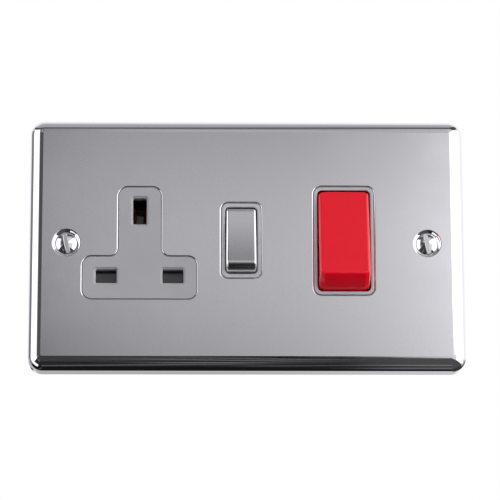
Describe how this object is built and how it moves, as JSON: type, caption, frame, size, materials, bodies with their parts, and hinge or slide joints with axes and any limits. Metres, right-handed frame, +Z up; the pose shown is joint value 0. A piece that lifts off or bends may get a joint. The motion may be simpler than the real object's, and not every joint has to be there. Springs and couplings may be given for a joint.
{
  "type": "cooker control unit",
  "caption": "Flush metal wall plate with a large red double-pole rocker switch and a switched T-faced outlet with three rectangular apertures.",
  "frame": {"origin": "midway between the two fixing screws, in the plane of the plate's rear rim, which lies on the wall", "axes": "+X to the right seen from the room, along the plate's length; +Y into the wall; +Z up"},
  "size_m": [0.146, 0.0398, 0.086],
  "materials": {
    "chrome_plate": "satin polished",
    "grey_moulding": "fine satin",
    "red_rocker": "gloss",
    "chrome_cap": "polished",
    "dark_moulding": "satin",
    "base_moulding": "satin",
    "brass": "plain",
    "copper": "rolled",
    "silver_tip": "plain",
    "spring_steel": "drawn",
    "nickel_screw": "nickel plated",
    "zinc_screw": "zinc plated"
  },
  "bodies": {
    "root": {"faceplate": "chrome_plate", "socket_front": "grey_moulding", "shutter_carrier": "dark_moulding", "live_contact": "brass", "neutral_contact": "brass", "earth_contact": "copper", "shutter_spring": "spring_steel", "cooker_switch_frame": "grey_moulding", "socket_switch_frame": "grey_moulding", "cooker_live_fulcrum": "copper", "cooker_live_fixed_strip": "copper", "cooker_neutral_fulcrum": "copper", "cooker_neutral_fixed_strip": "copper", "socket_fulcrum": "copper", "fixed_contact_tips": "silver_tip", "socket_live_strip": "copper", "live_link": "copper", "neutral_link": "copper", "live_supply_terminal": "brass", "live_load_terminal": "brass", "neutral_supply_terminal": "brass", "neutral_load_terminal": "brass", "earth_supply_terminal": "brass", "earth_load_terminal": "brass", "terminal_screws": "zinc_screw", "earth_bar": "brass", "earth_strap": "brass", "plate_earth_tab": "brass", "earth_screw": "zinc_screw", "rear_base": "base_moulding", "housing_screws": "zinc_screw", "fixing_screws": "nickel_screw"},
    "cooker_rocker": {"cooker_rocker": "red_rocker", "cooker_live_plunger_spring": "spring_steel", "cooker_neutral_plunger_spring": "spring_steel"},
    "cooker_live_plunger": {"cooker_live_plunger": "dark_moulding"},
    "cooker_neutral_plunger": {"cooker_neutral_plunger": "dark_moulding"},
    "cooker_live_bar": {"cooker_live_bar": "copper", "cooker_live_bar_tip": "silver_tip"},
    "cooker_neutral_bar": {"cooker_neutral_bar": "copper", "cooker_neutral_bar_tip": "silver_tip"},
    "socket_rocker": {"socket_rocker": "dark_moulding", "socket_rocker_cap": "chrome_cap", "socket_plunger_spring": "spring_steel"},
    "socket_plunger": {"socket_plunger": "dark_moulding"},
    "socket_bar": {"socket_bar": "copper", "socket_bar_tip": "silver_tip"},
    "shutter": {"shutter": "dark_moulding"}
  },
  "joints": [
    {"name": "cooker_switch", "type": "hinge", "parent": "root", "child": "cooker_rocker", "pos_m": [0.03243, -0.0037, 0.0009], "axis": [1, 0, 0], "range_deg": [0, 24.8]},
    {"name": "cooker_live_contact", "type": "hinge", "parent": "root", "child": "cooker_live_bar", "pos_m": [0.02743, 0.0075, 0.0009], "axis": [1, 0, 0], "range_deg": [-12, 0]},
    {"name": "cooker_neutral_contact", "type": "hinge", "parent": "root", "child": "cooker_neutral_bar", "pos_m": [0.03743, 0.0075, 0.0009], "axis": [1, 0, 0], "range_deg": [-12, 0]},
    {"name": "cooker_live_push", "type": "slide", "parent": "cooker_rocker", "child": "cooker_live_plunger", "axis": [0, -0.9767, 0.2147], "range_m": [0, 0.0006], "stiffness_N_per_m": 300, "springref_m": -0.003, "deforming": ["cooker_live_plunger_spring"]},
    {"name": "cooker_neutral_push", "type": "slide", "parent": "cooker_rocker", "child": "cooker_neutral_plunger", "axis": [0, -0.9767, 0.2147], "range_m": [0, 0.0006], "stiffness_N_per_m": 300, "springref_m": -0.003, "deforming": ["cooker_neutral_plunger_spring"]},
    {"name": "socket_switch", "type": "hinge", "parent": "root", "child": "socket_rocker", "pos_m": [-0.0019, -0.0051, 0.0009], "axis": [1, 0, 0], "range_deg": [0, 22]},
    {"name": "socket_contact", "type": "hinge", "parent": "root", "child": "socket_bar", "pos_m": [-0.0019, 0.0075, 0.0009], "axis": [1, 0, 0], "range_deg": [-12, 0]},
    {"name": "socket_push", "type": "slide", "parent": "socket_rocker", "child": "socket_plunger", "axis": [0, -0.9816, 0.1908], "range_m": [0, 0.0006], "stiffness_N_per_m": 300, "springref_m": -0.003, "deforming": ["socket_plunger_spring"]},
    {"name": "shutter_slide", "type": "slide", "parent": "root", "child": "shutter", "axis": [0, 0, -1], "range_m": [0, 0.004], "stiffness_N_per_m": 60, "springref_m": -0.004, "deforming": ["shutter_spring"]}
  ],
  "couplings": [
    {"joint": "cooker_live_contact", "follows": "cooker_switch", "ratio": -0.48},
    {"joint": "cooker_neutral_contact", "follows": "cooker_switch", "ratio": -0.48},
    {"joint": "socket_contact", "follows": "socket_switch", "ratio": -0.54}
  ]
}
